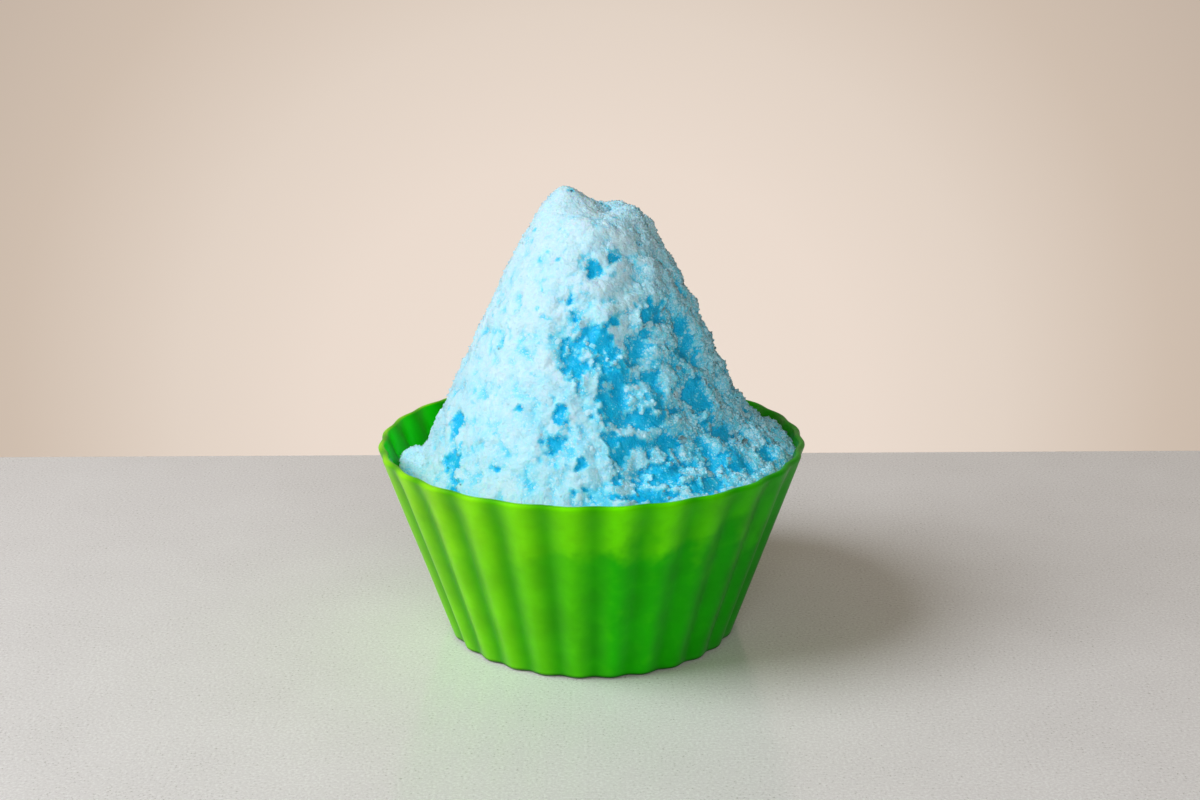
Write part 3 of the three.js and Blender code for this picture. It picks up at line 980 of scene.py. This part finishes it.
class Nodes:
    """A short way to make a material's nodes and links."""

    def __init__(self, name):
        self.material = bpy.data.materials.new(name)
        self.material.use_nodes = True
        self.tree = self.material.node_tree
        self.shader = self.tree.nodes["Principled BSDF"]

    def add(self, kind, **settings):
        node = self.tree.nodes.new(kind)
        for key, value in settings.items():
            setattr(node, key, value)
        return node

    def put(self, value, socket):
        """Feeds a socket from a node's output or with a plain value."""
        if isinstance(value, bpy.types.NodeSocket):
            self.tree.links.new(value, socket)
        else:
            socket.default_value = value

    def dress(self, **values):
        """Feeds the shader's sockets, named with _ for each space."""
        for key, value in values.items():
            self.put(value, self.shader.inputs[key.replace("_", " ")])

    def place(self):
        """The point's own place in metres."""
        return self.add("ShaderNodeTexCoord").outputs["Object"]

    def attribute(self, name):
        """A value that the mesh has at its points."""
        return self.add("ShaderNodeAttribute", attribute_name=name).outputs["Fac"]

    def noise(self, scale, detail, roughness=0.5):
        node = self.add("ShaderNodeTexNoise")
        self.put(self.place(), node.inputs["Vector"])
        self.put(scale, node.inputs["Scale"])
        self.put(detail, node.inputs["Detail"])
        self.put(roughness, node.inputs["Roughness"])
        return node.outputs["Fac"]

    def math(self, operation, *values, clamp=False):
        node = self.add("ShaderNodeMath", operation=operation, use_clamp=clamp)
        for value, socket in zip(values, node.inputs):
            self.put(value, socket)
        return node.outputs[0]

    def fade(self, value, span, first=0.0, kind="LINEAR"):
        """From first to 1 while the value goes through the span."""
        node = self.add("ShaderNodeMapRange", interpolation_type=kind)
        self.put(value, node.inputs["Value"])
        self.put(span[0], node.inputs["From Min"])
        self.put(span[1], node.inputs["From Max"])
        self.put(first, node.inputs["To Min"])
        return node.outputs["Result"]

    def ramp(self, factor, stops):
        """The colour between the stops that the factor gives."""
        node = self.add("ShaderNodeValToRGB")
        elements = node.color_ramp.elements
        while len(elements) < len(stops):
            elements.new(0.5)
        for element, (position, colour) in zip(elements, stops):
            element.position = position
            element.color = (*colour, 1)
        self.put(factor, node.inputs["Fac"])
        return node.outputs["Color"]

    def mix(self, factor, first, second):
        """One colour that turns into another as the factor goes from 0 to 1."""
        node = self.add("ShaderNodeMix", data_type="RGBA")
        self.put(factor, node.inputs[0])
        self.put(first, node.inputs[6])
        self.put(second, node.inputs[7])
        return node.outputs[2]

    def bump(self, height, distance):
        """Fine relief in the shading alone."""
        node = self.add("ShaderNodeBump")
        self.put(1.0, node.inputs["Strength"])
        self.put(distance, node.inputs["Distance"])
        self.put(height, node.inputs["Height"])
        self.put(node.outputs["Normal"], self.shader.inputs["Normal"])


def ice_material(name, scattering):
    """Frost where the syrup is thin, clear blue where it soaked in."""
    nodes = Nodes(name)
    broad = nodes.noise(ICE_BROAD_SCALE, 3)
    fine = nodes.noise(ICE_FINE_SCALE, 2)
    factor = nodes.math("MULTIPLY_ADD", broad, ICE_BROAD_SHARE, nodes.attribute("syrup"))
    factor = nodes.math("MULTIPLY_ADD", fine, ICE_FINE_SHARE, factor)
    factor = nodes.math("SUBTRACT", factor, ICE_NOISE_MIDDLE, clamp=True)
    nodes.bump(nodes.math("MULTIPLY_ADD", broad, ICE_BUMP_SHARE, fine), ICE_BUMP)
    nodes.dress(
        Base_Color=nodes.ramp(factor, ICE_COLOURS),
        Roughness=nodes.math("MULTIPLY_ADD", factor, ICE_ROUGHNESS[1], ICE_ROUGHNESS[0]),
        IOR=1.31,
        Specular_IOR_Level=0.35,
        Subsurface_Weight=scattering,
        Subsurface_Scale=0.0015,
        Subsurface_Radius=(0.15, 0.6, 1.0),
    )
    return nodes.material


def silicone_material():
    """Green silicone, a little see-through, with painted light: a painted glow high on its wall where the ice
    behind it would shine through, lighter on its left where the key light falls, painted shade in its grooves
    and a painted contact shadow at its foot.
    """
    nodes = Nodes("green_silicone")
    split = nodes.add("ShaderNodeSeparateXYZ")
    nodes.put(nodes.place(), split.inputs["Vector"])
    # Painted glow: lighter high on the wall, with a wavering edge, standing in for the ice behind it shining
    # through
    waver = nodes.noise(GLOW_SCALE, 3)
    height = nodes.math("MULTIPLY_ADD", waver, GLOW_WAVER, split.outputs["Z"])
    painted_glow = nodes.fade(height, PAINTED_GLOW_HEIGHTS, kind="SMOOTHSTEP")
    mottle = nodes.noise(MOTTLE_SCALE, 4)
    factor = nodes.math("MULTIPLY_ADD", mottle, MOTTLE_SHARE, painted_glow)
    factor = nodes.math("SUBTRACT", factor, MOTTLE_MIDDLE, clamp=True)
    # Painted light: lighter and yellower on the left, where the key light falls, and darker on the right, on
    # the lining too
    side = nodes.math("MULTIPLY_ADD", split.outputs["X"], PAINTED_LIGHT_SLOPE, 0.5, clamp=True)
    colour = nodes.mix(factor, nodes.ramp(side, LOW_COLOURS), nodes.ramp(side, PAINTED_GLOW_COLOURS))
    colour = nodes.mix(nodes.attribute("inside"), colour, nodes.ramp(side, LINING_COLOURS))
    # Painted shade: the grooves are made darker and deeper green
    groove = nodes.attribute("groove")
    colour = nodes.mix(nodes.math("MULTIPLY", groove, GROOVE_SHADE_TINT), colour, GROOVE_SHADE_COLOUR)
    blotch = nodes.math("MULTIPLY_ADD", nodes.noise(BLOTCH_SCALE, 3), BLOTCHES[1], BLOTCHES[0])
    shade = nodes.math("MULTIPLY_ADD", groove, GROOVE_SHADE, blotch)
    # Painted contact shadow: the colour darkens at the foot, where the cup rests on the table
    foot = nodes.fade(split.outputs["Z"], FOOT_HEIGHTS, first=FOOT_SHADE)
    painted_shade_and_blotches = nodes.add("ShaderNodeVectorMath", operation="SCALE")
    nodes.put(colour, painted_shade_and_blotches.inputs[0])
    nodes.put(nodes.math("MULTIPLY", shade, foot), painted_shade_and_blotches.inputs["Scale"])
    nodes.bump(nodes.noise(SKIN_SCALE, 3), SKIN_BUMP)
    nodes.dress(
        Base_Color=painted_shade_and_blotches.outputs["Vector"],
        Roughness=nodes.math("MULTIPLY_ADD", mottle, SILICONE_ROUGHNESS[1], SILICONE_ROUGHNESS[0]),
        IOR=1.41,
        Specular_IOR_Level=0.25,
        Specular_Tint=(0.5, 1.0, 0.1, 1),
        Subsurface_Weight=0.1,
        Subsurface_Scale=0.001,
        Subsurface_Radius=(0.4, 1.0, 0.1),
    )
    return nodes.material


def dress(piece, material, node=None):
    """Gives a piece its material and its place in the frame."""
    piece.data.materials.append(material)
    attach(piece, "root")
    if node:
        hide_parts(node)


def make_camera():
    """The camera at the photo's angle."""
    yaw = math.radians(CAMERA_YAW)
    pitch = math.radians(CAMERA_PITCH)
    roll = math.radians(CAMERA_ROLL)
    level_share = math.cos(pitch)
    ahead = Vector((math.sin(yaw) * level_share, math.cos(yaw) * level_share, -math.sin(pitch)))
    level = Vector((math.cos(yaw), -math.sin(yaw), 0))
    over = level.cross(ahead)
    right = level * math.cos(roll) + over * math.sin(roll)
    up = over * math.cos(roll) - level * math.sin(roll)
    lens = bpy.data.cameras.new("camera")
    lens.lens = LENS
    lens.sensor_width = SENSOR_WIDTH
    lens.clip_start = NEAREST_SEEN
    camera = bpy.data.objects.new("camera", lens)
    aim = Matrix((right, up, -ahead)).transposed().to_4x4()
    camera.matrix_world = Matrix.Translation(CAMERA_PLACE) @ aim
    bpy.context.scene.collection.objects.link(camera)
    bpy.context.scene.camera = camera


def stage_box(name, low, high, bevel):
    """A box of the stage, which isn't part of the object."""
    corners = [(x, y, z) for x in (low[0], high[0]) for y in (low[1], high[1]) for z in (low[2], high[2])]
    faces = [(0, 1, 3, 2), (4, 6, 7, 5), (0, 4, 5, 1), (2, 3, 7, 6), (0, 2, 6, 4), (1, 5, 7, 3)]
    mesh = bpy.data.meshes.new(name)
    mesh.from_pydata(corners, [], faces)
    thing = bpy.data.objects.new(name, mesh)
    bpy.context.scene.collection.objects.link(thing)
    if bevel:
        rounding = thing.modifiers.new("rounding", "BEVEL")
        rounding.width = bevel
        rounding.segments = 3
    return thing


def make_table():
    """A polished pale table top with fine dark specks."""
    low = (-TABLE_HALF_WIDTH, TABLE_FRONT, -TABLE_THICKNESS)
    high = (TABLE_HALF_WIDTH, TABLE_BACK, 0)
    table = stage_box("table", low, high, TABLE_BEVEL)
    nodes = Nodes("pale_stone")
    speck = nodes.noise(SPECK_SCALE, 4, 0.7)
    factor = nodes.math("MULTIPLY_ADD", nodes.noise(CLOUD_SCALE, 2), CLOUD_SHARE, speck)
    nodes.dress(
        Base_Color=nodes.ramp(factor, TABLE_COLOURS),
        Roughness=0.14,
        Specular_IOR_Level=0.38,
    )
    table.data.materials.append(nodes.material)


def make_wall():
    """A far wall that glows, with a painted pool of light in its middle, and casts no light."""
    low = (-WALL_HALF_WIDTH, WALL_PLACE, -WALL_HALF_HEIGHT)
    high = (WALL_HALF_WIDTH, WALL_PLACE + WALL_THICKNESS, WALL_HALF_HEIGHT)
    wall = stage_box("wall", low, high, 0)
    nodes = Nodes("warm_wall")
    # Painted light: the wall glows, lightest in a pool round its middle
    shift = nodes.add("ShaderNodeMapping")
    nodes.put(nodes.place(), shift.inputs["Vector"])
    nodes.put((0, -WALL_PLACE, WALL_LIGHT_DROP), shift.inputs["Location"])
    length = nodes.add("ShaderNodeVectorMath", operation="LENGTH")
    nodes.put(shift.outputs["Vector"], length.inputs[0])
    nodes.dress(
        Base_Color=(0, 0, 0, 1),
        Emission_Color=nodes.ramp(length.outputs["Value"], WALL_GLOW_COLOURS),
        Emission_Strength=1.0,
        Roughness=1.0,
        Specular_IOR_Level=0,
    )
    wall.data.materials.append(nodes.material)
    wall.visible_diffuse = False


def make_light(name, towards, size, energy, colour):
    """A round soft light in the given direction from the part."""
    light = bpy.data.lights.new(name, "AREA")
    light.shape = "DISK"
    light.size = size
    light.energy = energy
    light.color = colour
    lamp = bpy.data.objects.new(name, light)
    towards = Vector(towards).normalized()
    lamp.location = towards * LIGHT_DISTANCE + LIGHT_AIM
    lamp.rotation_euler = towards.to_track_quat("Z", "Y").to_euler()
    bpy.context.scene.collection.objects.link(lamp)
    return lamp


def make_lights():
    """A key from the left, a weak card in front and a dim warm room."""
    world = bpy.data.worlds.new("studio")
    bpy.context.scene.world = world
    world.use_nodes = True
    sky = world.node_tree.nodes["Background"]
    sky.inputs["Color"].default_value = SKY_COLOUR
    sky.inputs["Strength"].default_value = SKY_STRENGTH
    make_light("key", **KEY)
    card = make_light("card", **CARD)
    card.visible_glossy = False


def main():
    """Builds the stage and then the six pieces."""
    noise.seed_set(NOISE_SEED)
    make_camera()
    make_lights()
    make_table()
    make_wall()
    dress(make_cup(), silicone_material(), "baking_cup")
    core = make_core()
    dress(core.piece, ice_material("syrup_ice", CORE_SCATTERING), "shaved_ice")
    add_grains(core)
    bpy.context.scene.view_settings.view_transform = "Standard"


main()
